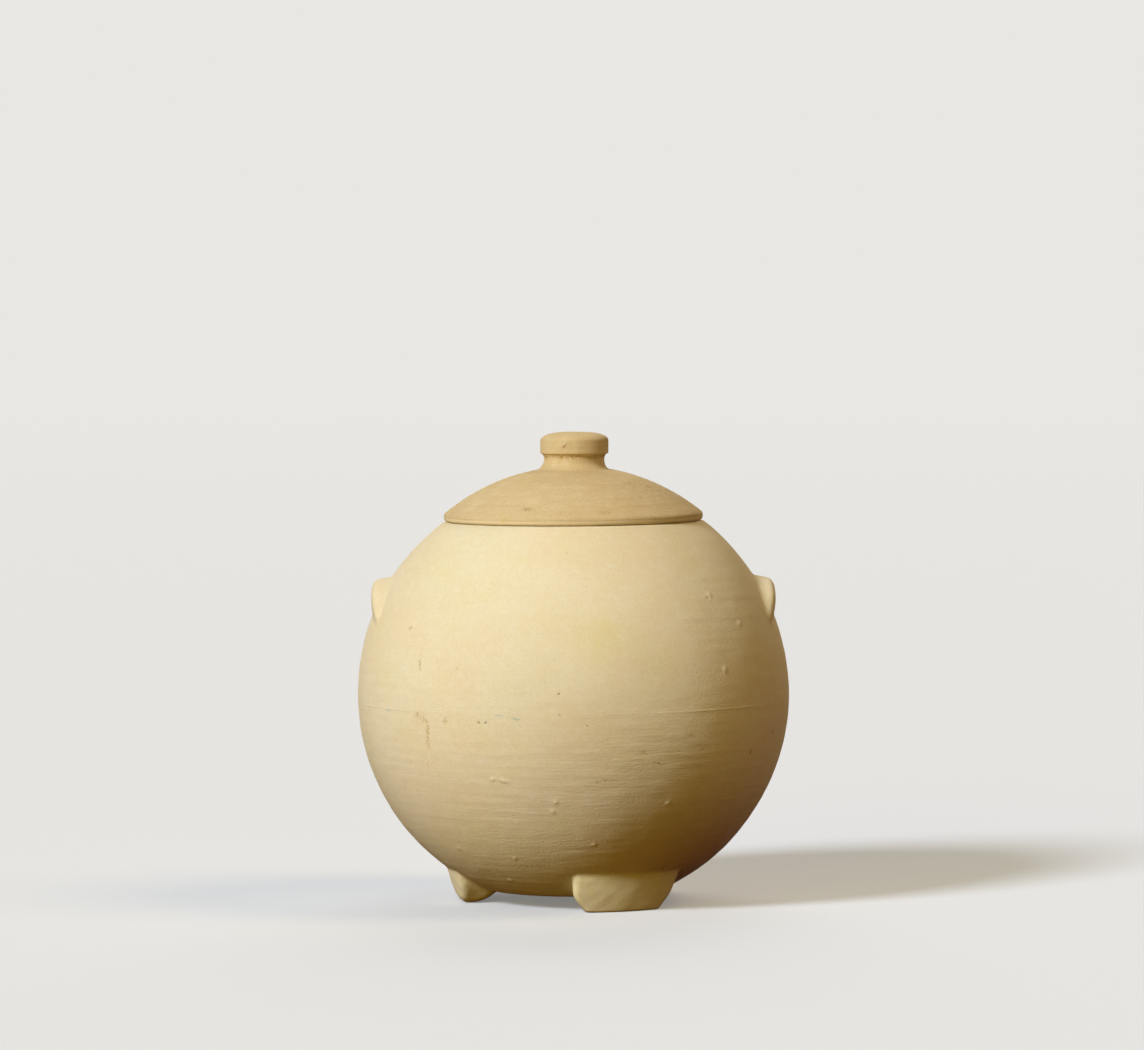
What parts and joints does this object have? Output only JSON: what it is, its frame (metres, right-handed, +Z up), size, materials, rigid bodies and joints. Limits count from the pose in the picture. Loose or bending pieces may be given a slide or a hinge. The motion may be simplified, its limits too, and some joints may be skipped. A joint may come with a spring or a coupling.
{
  "type": "lidded stoneware jar",
  "caption": "Ball-shaped unglazed stoneware jar on slab feet, with half-round lugs on its shoulders and a domed lid that lifts off by a disc knob.",
  "frame": {"origin": "on the table under the middle of the pot, in the plane of the soles of the feet", "axes": "+Z up along the pot's axis, +X towards the right lug, -Y towards the viewer of the picture"},
  "size_m": [0.2934, 0.2934, 0.318],
  "materials": {
    "cream_bisque": "unglazed, smoothed, matt",
    "tan_bisque": "unglazed, smoothed, matt"
  },
  "bodies": {
    "jar": {"lower_bowl": "cream_bisque", "upper_bowl": "cream_bisque", "seam_bead": "cream_bisque", "left_lug": "cream_bisque", "right_lug": "cream_bisque", "front_foot": "cream_bisque", "rear_foot": "cream_bisque", "left_foot": "cream_bisque"},
    "lid": {"lid_dome": "tan_bisque", "lid_flange": "tan_bisque", "lid_knob": "tan_bisque"}
  },
  "joints": [
    {"name": "lid_lift", "type": "slide", "parent": "jar", "child": "lid", "axis": [0, 0, 1], "range_m": [0, 0.2]}
  ]
}
